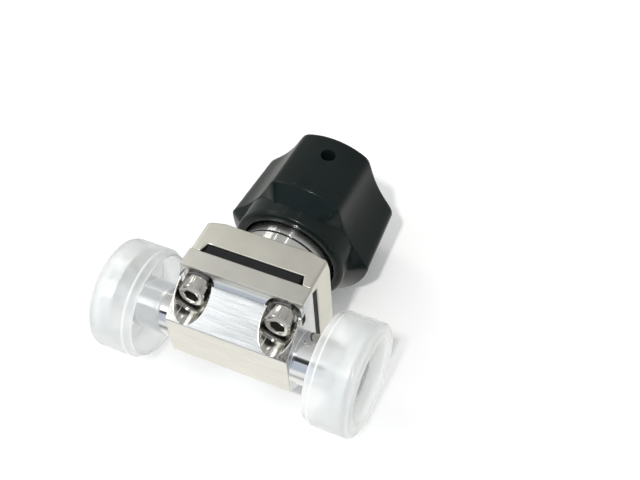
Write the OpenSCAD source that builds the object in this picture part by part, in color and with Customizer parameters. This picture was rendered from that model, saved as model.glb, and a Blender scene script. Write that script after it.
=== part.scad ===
// Sanitary weir diaphragm valve with clamp ends, a square bonnet on four legs and a rising handle.
// Origin: where the pipe axis crosses the spindle axis. +X along the pipe, +Z up the spindle.
// Shown fully open, with push-on caps on both clamp ends. All sizes in millimetres.

/* [Pipe ends] */
// Outside diameter of the tube ends
tube_od = 12.7; // [11.5:0.1:13]
// Wall of the tube ends
tube_wall = 1.65; // [1.2:0.05:2.2]
// Distance between the two clamp faces
face_to_face = 63.5; // [60:0.5:80]
// Length of one ferrule from its weld to its face
ferrule_length = 12.7; // [10:0.1:13]
// Outside diameter of the clamp flange
ferrule_od = 25; // [24:0.1:30]
// Thickness of the clamp flange at its rim
ferrule_rim = 2.85; // [2:0.05:3.5]
// Slope of the back of the clamp flange
ferrule_slope = 20; // [10:1:30]
// Middle radius of the gasket groove in the clamp face
groove_radius = 10.1; // [9:0.1:10.5]
// Radius of the gasket groove's round section
groove_section = 1.1; // [0.6:0.1:1.3]

/* [Body] */
// Length of the body block along the pipe
body_length = 32.2; // [31.6:0.1:34]
// Depth of the body flange across the pipe
flange_depth = 32; // [31.6:0.1:35]
// Thickness of the body flange
flange_thickness = 5.1; // [4:0.1:7]
// Height of the flange's underside over the pipe axis
flange_lift = 3.4; // [3:0.1:5]
// Depth of the flat base below the pipe axis
base_drop = 6.6; // [6.5:0.1:9]
// Width of the flat base
base_width = 12.4; // [10:0.1:14]
// Width across the sloping faces where they would meet the flange
waist_width = 26.4; // [25:0.1:28]
// Radius of the fillet between sloping face and flange
waist_fillet = 3.5; // [1:0.1:4]
// Radius of the fillet where a tube leaves the block
root_fillet = 0.2; // [0.1:0.05:0.3]
// Radius of the chamber's mouth in the flange
chamber_radius = 9.5; // [8.5:0.1:10]
// Depth of the weir's crest below the flange
weir_depth = 3.1; // [2:0.1:3.5]
// Thickness of the weir
weir_thickness = 3.6; // [3:0.1:5]
// Step between the weir's face and the end of the bore
weir_step = 0.5; // [0.2:0.1:1]
// Radius of the two risers from bore to chamber
riser_radius = 3.7; // [3:0.1:3.8]

/* [Screws] */
// Half of the screw spacing along the pipe
screw_x = 11.3; // [11:0.1:11.6]
// Half of the screw spacing across the pipe
screw_y = 10.6; // [10.4:0.1:11]
// Diameter of the screw thread
screw_d = 4.16; // [3.5:0.02:4.4]
// Length of the screw under its head
screw_length = 12.7; // [11:0.1:14]
// Diameter of the screw head
head_d = 6.86; // [6:0.02:7.2]
// Height of the screw head
head_height = 4.17; // [3:0.01:4.5]
// Hexagon key size
key_size = 3.57; // [2.5:0.01:3.7]
// Depth of the hexagon socket
key_depth = 2.2; // [1.5:0.1:2.4]
// Outside diameter of the lock washers
washer_d = 7.5; // [7.3:0.1:8]
// Thickness of the lock washers
washer_thickness = 1; // [0.6:0.05:1.2]
// Width of the split in the lock washers
washer_split = 0.9; // [0.5:0.1:1.5]
// Radius of the screw pockets in the sloping faces
pocket_radius = 4.3; // [4.1:0.05:4.5]
// Radius of the spot faces under the flange
spot_radius = 4.95; // [4.7:0.05:5.1]
// Depth of the spot faces into the flange
spot_depth = 0.7; // [0.3:0.05:1]

/* [Diaphragm] */
// Thickness of the diaphragm's clamped edge, also the height of the bonnet legs
diaphragm_thickness = 2.7; // [2:0.1:3.5]
// How far the diaphragm's edge stays inside the bonnet's faces
edge_inset = 0.3; // [0.1:0.05:1]
// Height of the lower face's crown when open
crown_low = 1.1; // [0.5:0.1:1.3]
// Height of the upper face's crown when open
crown_high = 0.7; // [0.3:0.1:1]
// Radius of the upper face's crown
crown_radius = 7.2; // [6:0.1:7.4]
// Radius of the stud
stud_radius = 1.5; // [1:0.1:2]
// Radius of the stud's moulded-in anchor
anchor_radius = 3; // [2.4:0.1:4]
// Thickness of the stud's anchor
anchor_thickness = 0.6; // [0.4:0.1:0.7]

/* [Bonnet] */
// Side of the square bonnet
bonnet_side = 31.8; // [31.6:0.1:35]
// Thickness of the bonnet block above the legs
bonnet_thickness = 7.1; // [7:0.1:10]
// Width of a leg at its foot
leg_foot = 2.6; // [2:0.1:3]
// Width of a leg where it joins the block
leg_top = 3.2; // [2.6:0.1:3.4]
// Radius of the rounding at a leg's foot
leg_round = 0.7; // [0.3:0.1:1]
// Radius at which the turned corner cut of the bonnet's top starts
crown_start = 19.6; // [18:0.1:21]
// Slope of the turned corner cut
crown_slope = 21; // [15:1:50]
// Radius of the compressor's space
cavity_radius = 9.2; // [8.8:0.1:9.6]
// Width across the flats that guide the compressor
cavity_flats = 15.2; // [15:0.1:16]
// Height of the compressor's space
cavity_height = 5.8; // [5.7:0.1:6]

/* [Neck] */
// Outside diameter of the neck
neck_d = 24; // [23:0.1:26]
// Height of the neck above the bonnet
neck_height = 14.7; // [14.7:0.1:18]
// Diameter of the neck's spigot in the bonnet
spigot_d = 17.2; // [16:0.1:18]
// Height of the black ring's middle above the bonnet
ring_lift = 5.2; // [4:0.1:5.4]
// Section diameter of the black ring
ring_section = 0.44; // [0.4:0.02:1]
// Thickness of the neck's floor under the spindle nut, spigot not counted
neck_floor = 2.7; // [2.6:0.1:3.5]
// Outside radius of the spindle nut
nut_radius = 8; // [7.6:0.1:9]
// Height of the spindle nut
nut_height = 10; // [9:0.1:10.2]
// Thickness of the snap ring
snap_thickness = 1; // [0.6:0.1:1.1]
// How far the snap ring reaches inside the spindle nut's outside
snap_reach = 1.1; // [0.5:0.1:1.3]
// Gap between the snap ring's ends
snap_gap = 2; // [1:0.1:4]
// How deep the snap ring's groove is cut
snap_groove = 0.7; // [0.4:0.1:1]

/* [Spindle] */
// Radius of the spindle's thread
thread_radius = 4.95; // [4.6:0.05:5.4]
// Radius of the spindle's sealing length
seal_radius = 3.95; // [3.6:0.05:4.2]
// Section radius of the spindle's seal
seal_section = 0.8; // [0.6:0.05:0.9]
// Radius of the spindle's foot in the compressor
foot_radius = 3.2; // [2.8:0.1:3.6]
// Radius at the bottom of the foot's groove
foot_groove = 2.25; // [1.8:0.05:2.3]
// Radius of the compressor's cross pins
pin_radius = 0.55; // [0.4:0.05:0.6]
// Length of the compressor's cross pins
pin_length = 12; // [9:0.5:13]
// Travel of the spindle from open to closed
stroke = 4; // [3:0.1:4.2]
// Thickness of the thrust washer
thrust_thickness = 0.5; // [0.3:0.05:0.6]
// Thickness of the compressor's floor under the thrust washer
compressor_floor = 1.5; // [1.3:0.05:1.6]
// Radius of the compressor's face on the diaphragm
compressor_face = 6; // [5:0.1:7]

/* [Handle] */
// Gap between the bonnet and the handle's skirt when open
skirt_gap = 7.8; // [7:0.1:9]
// Gap between the neck and the skirt around it
skirt_clearance = 0.6; // [0.3:0.1:1]
// Wall of the skirt
skirt_wall = 2.5; // [1.5:0.1:3.5]
// Radius of the skirt's rounded lower edge
skirt_round = 1; // [0.3:0.1:1.4]
// Height of the skirt
skirt_height = 4; // [3:0.1:5]
// How far the lobes stand out from the skirt at their lower edge
lobe_reach = 4.5; // [3:0.1:6]
// Lean of the lobes' tips towards the top
lobe_draft = 4; // [0:0.5:6]
// Number of lobes
lobe_count = 3; // [3:1:5]
// How far the bottom of the hollows between lobes stands out from the skirt
hollow_step = 0.1; // [0.1:0.05:1]
// Radius of the hollows between the lobes
hollow_radius = 34; // [25:1:200]
// Softness of the edge between lobe and hollow
lobe_softness = 0.6; // [0.2:0.05:0.8]
// Rise of the lobes' underside from skirt to tip
lobe_rise = 2.9; // [1:0.1:5]
// Height of the whole handle
handle_height = 27.2; // [25:0.1:32]
// Radius of the handle's rounded top edge
top_round = 1.2; // [0.5:0.1:3]
// Turn of the front lobe from the middle of the bonnet's face
handle_turn = 8.5; // [0:0.5:45]
// Radius of the hole for the set screw
access_radius = 1.8; // [1.5:0.1:2.2]
// Height of the set screw above the middle of the metal hub
access_lift = 2.4; // [0:0.1:2.6]
// How far the set screw stands out of the metal hub
set_reach = 3; // [0.5:0.1:5]
// Hexagon key size of the set screw
set_key = 2; // [1.5:0.1:2.4]
// Depth of the set screw's socket
set_socket = 1; // [0.5:0.1:2]
// Outside radius of the metal hub
hub_radius = 6.5; // [6:0.1:7]
// Height of the metal hub
hub_height = 9.4; // [9:0.1:9.8]
// Radius of the spindle in the hub
shank_radius = 4; // [3.6:0.1:4.4]
// Distance from the spindle's axis to its flat
shank_flat = 3.4; // [3:0.1:3.5]
// Radius of the spindle's top thread
tip_radius = 3; // [2.5:0.1:3.2]
// Height of the top nut
top_nut_height = 1.8; // [1.4:0.1:2]
// Size of the top nut across its flats
top_nut_size = 10; // [9:0.5:11]
// Thickness of the washer under the top nut
top_washer = 0.8; // [0.5:0.1:1]
// Radius of the cap on top of the handle
top_cap_radius = 8.4; // [7.9:0.1:9]
// Thickness of the cap on top of the handle
top_cap_thickness = 1.3; // [1:0.1:1.4]
// Outside radius of the travel stop
stop_radius = 6.4; // [6:0.1:6.6]
// Height of the travel stop
stop_height = 4.1; // [3:0.1:4.2]
// Radius of the travel stop's grub screw
grub_radius = 1; // [0.6:0.1:1.4]

/* [End caps] */
// Wall of the end caps
cap_wall = 1.45; // [1:0.05:2]
// Clearance between end cap and clamp flange
cap_clearance = 0.1; // [0.05:0.05:0.4]
// Length of an end cap over all
cap_length = 11.9; // [8:0.1:14]
// Length of the tapered lip at the cap's mouth
cap_lip = 2; // [0.5:0.1:3]
// Wall left at the lip's edge
cap_lip_wall = 0.5; // [0.3:0.05:1]
// Thickness of an end cap's disc
cap_disc = 1.2; // [0.8:0.1:2]
// Height of the rim around the disc
cap_rim = 1.1; // [0.5:0.1:2]
// Radius of the recess in the cap's end
cap_recess = 10.4; // [8:0.1:11.5]
// Radius of the cap's outer corner
cap_round = 1.5; // [0.5:0.1:2]

/* [Hidden] */
$fn = 64;

// Fits: a running fit, a fixed fit, and room between pieces that only pass each other
running = 0.05;
fixed = 0.03;
room = 0.3;
// Overshoot of cutting tools
over = 1;
// Points on a rounded corner of an outline
corner_steps = 8;
// Points around the lobed outline
lobe_steps = 144;

// Radii and half lengths along the pipe
tube_r = tube_od / 2;
bore_r = tube_r - tube_wall;
face_x = face_to_face / 2;
weld_x = face_x - ferrule_length;
body_x = body_length / 2;
flange_y = flange_depth / 2;

// Levels up the spindle
base_z = -base_drop;
flange_z = flange_lift + flange_thickness;
bonnet_z = flange_z + diaphragm_thickness;
roof_z = bonnet_z + cavity_height;
bonnet_top = bonnet_z + bonnet_thickness;
ring_z = bonnet_top + ring_lift;
nut_z = bonnet_top + neck_floor;
nut_top = nut_z + nut_height;
neck_top = bonnet_top + neck_height;
skirt_z = bonnet_top + skirt_gap;
spot_z = flange_lift + spot_depth;
under_head = spot_z - washer_thickness;
head_z = under_head - head_height;

// Weir and chamber
chamber_ball = (chamber_radius * chamber_radius + weir_depth * weir_depth) / (2 * weir_depth);
riser_x = weir_thickness / 2 + riser_radius + 0.1;
riser_flat = 2 * riser_radius - 0.4;

// Diaphragm, stud and compressor
crown_top = bonnet_z + crown_high;
compressor_z = crown_top + running;
compressor_top = roof_z - 0.2;
foot_z = compressor_z + compressor_floor + thrust_thickness;
foot_groove_z = (foot_z + compressor_top) / 2 + 0.1;
foot_groove_height = 2 * pin_radius + 0.1;
pin_x = foot_groove + running + pin_radius;
anchor_z = flange_z + crown_low + 0.9;

// Spindle and handle
thread_z = nut_z + stroke + 0.2;
skirt_in = neck_d / 2 + skirt_clearance;
skirt_r = skirt_in + skirt_wall;
lobe_r = skirt_r + lobe_reach;
lobe_z = skirt_z + skirt_height;
edge_z = lobe_z + lobe_rise;
handle_top = skirt_z + handle_height;
cap_seat = handle_top - top_cap_thickness - 0.1;
nut_seat = cap_seat - room - top_nut_height;
hub_top = nut_seat - top_washer;
hub_z = hub_top - hub_height;
stop_z = hub_z - room - stop_height;
handle_roof = neck_top + stroke + 0.6;
access_z = hub_top - hub_height / 2 + access_lift;

// End caps
cap_in = ferrule_od / 2 + cap_clearance;
cap_r = cap_in + cap_wall;
disc_x = face_x + 0.15;
cap_end = disc_x + cap_disc + cap_rim;
mouth_x = cap_end - cap_length;

// Points of a rounded corner, from one angle to another
function arc(x, y, r, from, to) = [for (i = [0:corner_steps])
    let (a = from + (to - from) * i / corner_steps) [x + r * cos(a), y + r * sin(a)]];

// Radius of a hollow's arc at an angle from the hollow's middle, far out where the arc has ended
function hollow(a) = let (d = hollow_radius + skirt_r + hollow_step, side = d * sin(a))
    abs(side) < hollow_radius ? d * cos(a) - sqrt(hollow_radius * hollow_radius - side * side) : 2 * lobe_r;

// Radius of the lobed outline at an angle from the middle of a lobe: the nearer of lobe and hollow, blended
function lobe_radius(a) =
    let (pitch = 360 / lobe_count, off = abs(a - pitch * round(a / pitch)) - pitch / 2)
    -lobe_softness * ln(exp(-lobe_r / lobe_softness) + exp(-hollow(off) / lobe_softness));

module steel() color([0.78, 0.78, 0.76]) children();
module satin() color([0.68, 0.67, 0.63]) children();
module black() color([0.06, 0.065, 0.07]) children();
module bronze() color([0.72, 0.52, 0.28]) children();
module natural_plastic() color([0.9, 0.92, 0.93, 0.6]) children();

// A solid of revolution around the pipe: x of the outline is the radius, y the place along the pipe
module round_pipe() rotate([0, 90, 0]) rotate_extrude() children();

// An outline of y and z drawn out along the pipe, centred
module along_pipe(length) rotate([90, 0, 90]) linear_extrude(length, center = true) children();

// A copy at each of the four screws
module at_screws() for (x = [-1, 1], y = [-1, 1]) translate([x * screw_x, y * screw_y, 0]) children();

// The handle's own directions, front lobe first
module turned() rotate([0, 0, handle_turn]) children();

// Section across the pipe: flat base, sloping faces, fillet and flange
module body_section() {
    slope_y = (waist_width - base_width) / 2;
    slope_z = flange_lift - base_z;
    lean = atan2(slope_z, slope_y);
    reach = waist_fillet * tan(lean / 2);
    fillet_y = waist_width / 2 + reach;
    side = concat(
        [[base_width / 2, base_z]],
        arc(fillet_y, flange_lift - waist_fillet, waist_fillet, 90 + lean, 90),
        [[flange_y, flange_lift], [flange_y, flange_z]]);
    polygon(concat(side, [for (i = [len(side) - 1:-1:0]) [-side[i][0], side[i][1]]]));
}

// Tube stub with a small fillet at its root, drawn for the right end
module tube_stub() round_pipe()
    polygon(concat(
        [[0, body_x - over], [tube_r + root_fillet, body_x - over], [tube_r + root_fillet, body_x]],
        arc(tube_r + root_fillet, body_x + root_fillet, root_fillet, 270, 180),
        [[tube_r, weld_x], [0, weld_x]]));

// Bore, riser with a flat side at the weir, and weld end of one side, drawn for the right end
module flow_path() {
    translate([weir_thickness / 2 + weir_step, 0, 0]) rotate([0, 90, 0]) cylinder(r = bore_r, h = weld_x);
    translate([riser_x, 0, 0]) cylinder(r = riser_radius, h = flange_z);
    translate([weir_thickness / 2, -riser_flat / 2, 0]) cube([riser_radius, riser_flat, flange_z]);
}

module valve_body() steel() difference() {
    union() {
        along_pipe(body_length) body_section();
        for (s = [0, 1]) mirror([s, 0, 0]) tube_stub();
    }
    for (s = [0, 1]) mirror([s, 0, 0]) flow_path();
    translate([0, 0, flange_z + chamber_ball - weir_depth]) sphere(r = chamber_ball, $fn = 96);
    at_screws() {
        translate([0, 0, base_z - over]) cylinder(r = pocket_radius, h = flange_lift - base_z + over);
        translate([0, 0, flange_lift - over]) cylinder(r = spot_radius, h = spot_depth + over);
        cylinder(d = screw_d + 2 * fixed + 0.2, h = flange_z + over);
    }
}

// Clamp ferrule: bore, sloping back, rim and gasket groove, drawn for the right end
module ferrule() steel() round_pipe() difference() {
    back = face_x - ferrule_rim - (ferrule_od / 2 - tube_r) * tan(ferrule_slope);
    polygon([[bore_r, weld_x], [tube_r, weld_x], [tube_r, back], [ferrule_od / 2, face_x - ferrule_rim],
        [ferrule_od / 2, face_x], [bore_r, face_x]]);
    translate([groove_radius, face_x]) circle(r = groove_section, $fn = 48);
}
module left_ferrule() mirror([1, 0, 0]) ferrule();
module right_ferrule() ferrule();

// Square sheet with its corners cut away for the bonnet's legs
module diaphragm_outline() {
    half = bonnet_side / 2 - edge_inset;
    notch = bonnet_side / 2 - leg_top - 0.15;
    square([2 * half, 2 * notch], center = true);
    square([2 * notch, 2 * half], center = true);
}

module diaphragm() black() difference() {
    low_ball = (chamber_radius * chamber_radius + crown_low * crown_low) / (2 * crown_low);
    high_ball = (crown_radius * crown_radius + crown_high * crown_high) / (2 * crown_high);
    union() {
        translate([0, 0, flange_z]) linear_extrude(diaphragm_thickness) diaphragm_outline();
        intersection() {
            translate([0, 0, crown_top - high_ball]) sphere(r = high_ball, $fn = 96);
            translate([0, 0, flange_z + diaphragm_thickness / 2])
                cylinder(r = crown_radius, h = diaphragm_thickness);
        }
    }
    translate([0, 0, flange_z + crown_low - low_ball]) sphere(r = low_ball, $fn = 96);
    at_screws() translate([0, 0, flange_z - over])
        cylinder(d = screw_d + 2 * room, h = diaphragm_thickness + 2 * over);
    translate([0, 0, anchor_z - running])
        cylinder(r = anchor_radius + running, h = anchor_thickness + 2 * running);
    translate([0, 0, anchor_z]) cylinder(r = stud_radius + running, h = bonnet_z);
}

module diaphragm_stud() steel() {
    translate([0, 0, anchor_z]) cylinder(r = anchor_radius, h = anchor_thickness);
    translate([0, 0, anchor_z])
        cylinder(r = stud_radius, h = compressor_z + compressor_floor - room - anchor_z);
}

// Outline of the gap between two legs, from the foot up, with the feet rounded off
module leg_gap() {
    foot = bonnet_side / 2 - leg_foot;
    top = bonnet_side / 2 - leg_top;
    side = concat(
        [[foot + leg_round, flange_z - over]],
        arc(foot + leg_round, flange_z + leg_round, leg_round, 270, 180),
        [[top, bonnet_z]]);
    polygon(concat(side, [for (i = [len(side) - 1:-1:0]) [-side[i][0], side[i][1]]]));
}

// The turned shape that rounds off the bonnet's four top corners
module bonnet_crown() {
    far = bonnet_side;
    rotate_extrude($fn = 128)
        polygon([[0, flange_z - over], [far, flange_z - over],
            [far, bonnet_top - (far - crown_start) * tan(crown_slope)],
            [crown_start, bonnet_top], [0, bonnet_top]]);
}

module bonnet() satin() difference() {
    intersection() {
        translate([-bonnet_side / 2, -bonnet_side / 2, flange_z])
            cube([bonnet_side, bonnet_side, bonnet_top - flange_z]);
        bonnet_crown();
    }
    along_pipe(2 * bonnet_side) leg_gap();
    rotate([0, 0, 90]) along_pipe(2 * bonnet_side) leg_gap();
    intersection() {
        translate([0, 0, bonnet_z - over]) cylinder(r = cavity_radius, h = cavity_height + over);
        translate([-cavity_radius, -cavity_flats / 2, bonnet_z - over])
            cube([2 * cavity_radius, cavity_flats, cavity_height + over]);
    }
    cylinder(d = spigot_d - 2 * over, h = bonnet_top - over);
    translate([0, 0, roof_z - 0.01]) cylinder(d = spigot_d + 2 * fixed, h = bonnet_thickness);
    at_screws() cylinder(d = screw_d + 2 * fixed, h = under_head + screw_length + 0.5);
}

module bonnet_screws() steel() at_screws() difference() {
    union() {
        translate([0, 0, head_z]) cylinder(d = head_d, h = head_height);
        translate([0, 0, under_head]) cylinder(d = screw_d, h = screw_length);
    }
    translate([0, 0, head_z - over]) rotate([0, 0, 15])
        cylinder(d = key_size / cos(30), h = key_depth + over, $fn = 6);
}

module lock_washers() satin() at_screws() difference() {
    translate([0, 0, under_head]) cylinder(d = washer_d, h = washer_thickness);
    translate([0, 0, under_head - over]) cylinder(d = screw_d + 0.16, h = washer_thickness + 2 * over);
    rotate([0, 0, -60]) translate([0, -washer_split / 2, under_head - over])
        cube([washer_d, washer_split, washer_thickness + 2 * over]);
}

// Turned neck with a spigot below, a seal groove, the spindle nut's pocket and a groove for the black ring
module neck_sleeve() steel() rotate_extrude() difference() {
    neck_r = neck_d / 2;
    edge = 0.6;
    seal_z = (roof_z + nut_z) / 2;
    polygon([[seal_radius + running, roof_z], [spigot_d / 2, roof_z], [spigot_d / 2, bonnet_top],
        [neck_r, bonnet_top], [neck_r, neck_top - edge], [neck_r - edge, neck_top],
        [nut_radius + fixed, neck_top], [nut_radius + fixed, nut_z], [seal_radius + running, nut_z]]);
    translate([neck_r - ring_section - 0.1, ring_z - ring_section / 2 - 0.03])
        square([ring_section + over, ring_section + 0.06]);
    translate([0, seal_z - seal_section - 0.05])
        square([seal_radius + 2 * seal_section + 2 * running, 2 * seal_section + 0.1]);
    translate([0, nut_top]) square([nut_radius + snap_groove, snap_thickness + 0.02]);
}

module neck_o_ring() black() rotate_extrude()
    translate([neck_d / 2 - ring_section / 2 - 0.02, ring_z]) circle(d = ring_section, $fn = 32);

module spindle_o_ring() black() rotate_extrude()
    translate([seal_radius + running + seal_section, (roof_z + nut_z) / 2])
        circle(r = seal_section, $fn = 32);

module spindle_nut() bronze() translate([0, 0, nut_z]) difference() {
    cylinder(r = nut_radius, h = nut_height);
    translate([0, 0, -over]) cylinder(r = thread_radius + running, h = nut_height + 2 * over);
}

module nut_snap_ring() satin() translate([0, 0, nut_top]) difference() {
    outer = nut_radius + snap_groove - 0.1;
    cylinder(r = outer, h = snap_thickness);
    translate([0, 0, -over]) cylinder(r = nut_radius - snap_reach, h = snap_thickness + 2 * over);
    translate([0, -snap_gap / 2, -over]) cube([2 * outer, snap_gap, snap_thickness + 2 * over]);
}

// Pusher block, guided by two flats, with a socket for the spindle's foot and holes for the cross pins
module compressor() satin() difference() {
    high = compressor_top - compressor_z;
    intersection() {
        translate([0, 0, compressor_z]) cylinder(r = cavity_radius - 0.1, h = high);
        translate([-cavity_radius, -cavity_flats / 2 + 0.1, compressor_z])
            cube([2 * cavity_radius, cavity_flats - 0.2, high]);
        translate([0, 0, compressor_z])
            cylinder(r1 = compressor_face, r2 = compressor_face + 0.75 * high, h = high);
    }
    translate([0, 0, compressor_z + compressor_floor]) cylinder(r = foot_radius + running, h = high);
    translate([0, 0, compressor_z - over])
        cylinder(r = stud_radius + fixed, h = compressor_floor - 0.2 + over);
    for (s = [-1, 1]) translate([s * pin_x, 0, foot_groove_z]) rotate([90, 0, 0])
        cylinder(r = pin_radius + fixed / 2, h = pin_length + 0.1, center = true);
}

module compressor_pins() steel() for (s = [-1, 1])
    translate([s * pin_x, 0, foot_groove_z]) rotate([90, 0, 0])
        cylinder(r = pin_radius, h = pin_length, center = true);

module thrust_washer() bronze() translate([0, 0, compressor_z + compressor_floor])
    cylinder(r = foot_radius - 0.1, h = thrust_thickness);

// Foot with a groove, sealing length, thread, shank with a flat and top thread
module spindle() steel() difference() {
    union() {
        translate([0, 0, foot_z]) cylinder(r = foot_radius, h = roof_z - foot_z);
        translate([0, 0, compressor_top + 0.1])
            cylinder(r = seal_radius, h = thread_z - compressor_top - 0.1);
        translate([0, 0, thread_z]) cylinder(r = thread_radius, h = hub_z - thread_z);
        translate([0, 0, hub_z]) cylinder(r = shank_radius, h = hub_height);
        translate([0, 0, hub_top]) cylinder(r = tip_radius, h = top_washer + top_nut_height);
    }
    translate([0, 0, foot_groove_z - foot_groove_height / 2]) difference() {
        cylinder(r = foot_radius + over, h = foot_groove_height);
        translate([0, 0, -over]) cylinder(r = foot_groove, h = foot_groove_height + 2 * over);
    }
    turned() translate([-shank_radius, -shank_flat - shank_radius, hub_z])
        cube([2 * shank_radius, shank_radius, hub_height]);
}

module stop_collar() bronze() translate([0, 0, stop_z]) difference() {
    cylinder(r = stop_radius, h = stop_height);
    translate([0, 0, -over]) cylinder(r = thread_radius + fixed, h = stop_height + 2 * over);
    translate([0, 0, stop_height / 2]) rotate([90, 0, 0])
        cylinder(r = grub_radius + fixed, h = 2 * stop_radius);
}

module stop_collar_screw() satin() translate([0, -thread_radius - 2 * fixed, stop_z + stop_height / 2])
    rotate([90, 0, 0]) cylinder(r = grub_radius, h = stop_radius - thread_radius - 0.2);

// Outline of the lobes seen from above, front lobe towards -Y
module lobe_outline() polygon([for (i = [0:lobe_steps - 1]) let (a = 360 * i / lobe_steps)
    lobe_radius(a) * [sin(a), -cos(a)]]);

// Turned outline of the handle: skirt, sloping underside, leaning tips and rounded top edge
module handle_turning() {
    round_z = handle_top - top_round;
    round_r = lobe_r - (round_z - edge_z) * tan(lobe_draft) - top_round / cos(lobe_draft);
    rotate_extrude($fn = 128) polygon(concat(
        [[0, skirt_z], [skirt_r - skirt_round, skirt_z]],
        arc(skirt_r - skirt_round, skirt_z + skirt_round, skirt_round, 270, 360),
        [[skirt_r, lobe_z], [lobe_r, edge_z]],
        arc(round_r, round_z, top_round, lobe_draft, 90),
        [[0, handle_top]]));
}

// Radial hole for the set screw, from the spindle outwards
module radial(r, from, to) turned() translate([0, -from, access_z])
    rotate([90, 0, 0]) cylinder(r = r, h = to - from);

module handle_knob() black() difference() {
    intersection() {
        handle_turning();
        union() {
            translate([0, 0, skirt_z - over])
                cylinder(r = skirt_r + 0.01, h = skirt_height + lobe_rise + over);
            turned() translate([0, 0, lobe_z]) linear_extrude(handle_height) lobe_outline();
        }
    }
    translate([0, 0, skirt_z - over]) cylinder(r = skirt_in, h = handle_roof - skirt_z + over);
    cylinder(r = stop_radius + room, h = hub_z);
    cylinder(r = hub_radius + fixed, h = hub_top);
    cylinder(r = top_nut_size / 2 / cos(30) + room, h = cap_seat);
    translate([0, 0, cap_seat]) cylinder(r = top_cap_radius + fixed, h = handle_height);
    radial(access_radius, 0, 2 * lobe_r);
}

module handle_insert() steel() difference() {
    translate([0, 0, hub_z]) cylinder(r = hub_radius, h = hub_height);
    translate([0, 0, hub_z - over]) cylinder(r = shank_radius + fixed, h = hub_height + 2 * over);
    radial(access_radius, 0, 2 * hub_radius);
}

module handle_set_screw() satin() difference() {
    radial(access_radius - fixed, shank_flat + fixed, hub_radius + set_reach);
    turned() translate([0, set_socket - hub_radius - set_reach, access_z]) rotate([90, 0, 0])
        cylinder(d = set_key / cos(30), h = set_socket + over, $fn = 6);
}

module spindle_washer() steel() translate([0, 0, hub_top]) difference() {
    cylinder(d = top_nut_size, h = top_washer);
    translate([0, 0, -over]) cylinder(r = tip_radius + fixed, h = top_washer + 2 * over);
}

module spindle_top_nut() steel() translate([0, 0, nut_seat]) difference() {
    cylinder(d = top_nut_size / cos(30), h = top_nut_height, $fn = 6);
    translate([0, 0, -over]) cylinder(r = tip_radius + fixed, h = top_nut_height + 2 * over);
}

module handle_top_cap() black() translate([0, 0, cap_seat])
    cylinder(r = top_cap_radius, h = top_cap_thickness);

// Push-on cap: side wall with a tapered lip, disc and a rim around the disc, drawn for the right end
module end_cap() natural_plastic() round_pipe() polygon(concat(
    [[0, disc_x], [cap_in, disc_x], [cap_in, mouth_x], [cap_in + cap_lip_wall, mouth_x],
        [cap_r, mouth_x + cap_lip]],
    arc(cap_r - cap_round, cap_end - cap_round, cap_round, 0, 90),
    [[cap_recess, cap_end], [cap_recess - cap_rim / 4, disc_x + cap_disc], [0, disc_x + cap_disc]]));
module left_end_cap() mirror([1, 0, 0]) end_cap();
module right_end_cap() end_cap();

valve_body();
left_ferrule();
right_ferrule();
diaphragm();
bonnet();
neck_sleeve();
neck_o_ring();
bonnet_screws();
lock_washers();
spindle_nut();
nut_snap_ring();
spindle_o_ring();
compressor();
compressor_pins();
thrust_washer();
diaphragm_stud();
spindle();
stop_collar();
stop_collar_screw();
handle_knob();
handle_insert();
handle_set_screw();
spindle_washer();
spindle_top_nut();
handle_top_cap();
left_end_cap();
right_end_cap();
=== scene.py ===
import math

import bmesh
import bpy
from mathutils import Matrix, Vector


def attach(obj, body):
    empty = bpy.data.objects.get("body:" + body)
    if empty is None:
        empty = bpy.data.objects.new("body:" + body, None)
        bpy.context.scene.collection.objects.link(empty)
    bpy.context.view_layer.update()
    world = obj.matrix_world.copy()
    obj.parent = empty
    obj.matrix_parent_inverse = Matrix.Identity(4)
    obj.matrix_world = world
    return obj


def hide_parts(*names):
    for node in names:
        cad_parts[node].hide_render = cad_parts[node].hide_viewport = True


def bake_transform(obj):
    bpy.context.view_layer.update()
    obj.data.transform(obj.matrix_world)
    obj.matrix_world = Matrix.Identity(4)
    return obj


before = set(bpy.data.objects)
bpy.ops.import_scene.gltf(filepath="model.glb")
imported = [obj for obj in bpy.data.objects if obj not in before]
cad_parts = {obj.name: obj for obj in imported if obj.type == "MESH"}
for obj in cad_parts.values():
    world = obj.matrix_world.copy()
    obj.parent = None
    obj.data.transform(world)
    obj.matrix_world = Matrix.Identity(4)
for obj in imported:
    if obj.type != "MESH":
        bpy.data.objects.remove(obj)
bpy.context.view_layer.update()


# Valve body: a block of stainless bar, milled to a flat foot with sloping sides under a square flange
# and bored from both ends. Flange and foot are satin, the slopes are brushed along the pipe, tube ends
# and screw pockets are cut bright. Outer edges are broken with a fine bevel.
MM = 0.001
BODY_HALF_LENGTH, BODY_HALF_DEPTH = 16.1, 16.0
SCREW_X, SCREW_Y = 11.3, 10.6
POCKET_REACH, POCKET_TIP = 4.5, (-6.59, -5.0)
WELD_X = 19.05
BORE_REACH, RISER_REACH = 5.2, (10.0, 5.5)
FLANGE_UNDERSIDE = 3.4
MERGE, NEAR = 0.002, 0.02
FLAT_ANGLE, SHARP_ANGLE = math.radians(0.6), math.radians(33)
MIDDLE_PLANE = ((0, 0, 0), (0, 1, 0))
UPRIGHT_LENGTH, CORNER_STEPS = 2.0, 5


def new_finish(name):
    """An empty node finish: the material, its tree and its surface shader."""
    finish = bpy.data.materials.new(name)
    finish.use_nodes = True
    return finish, finish.node_tree, finish.node_tree.nodes["Principled BSDF"]


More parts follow.
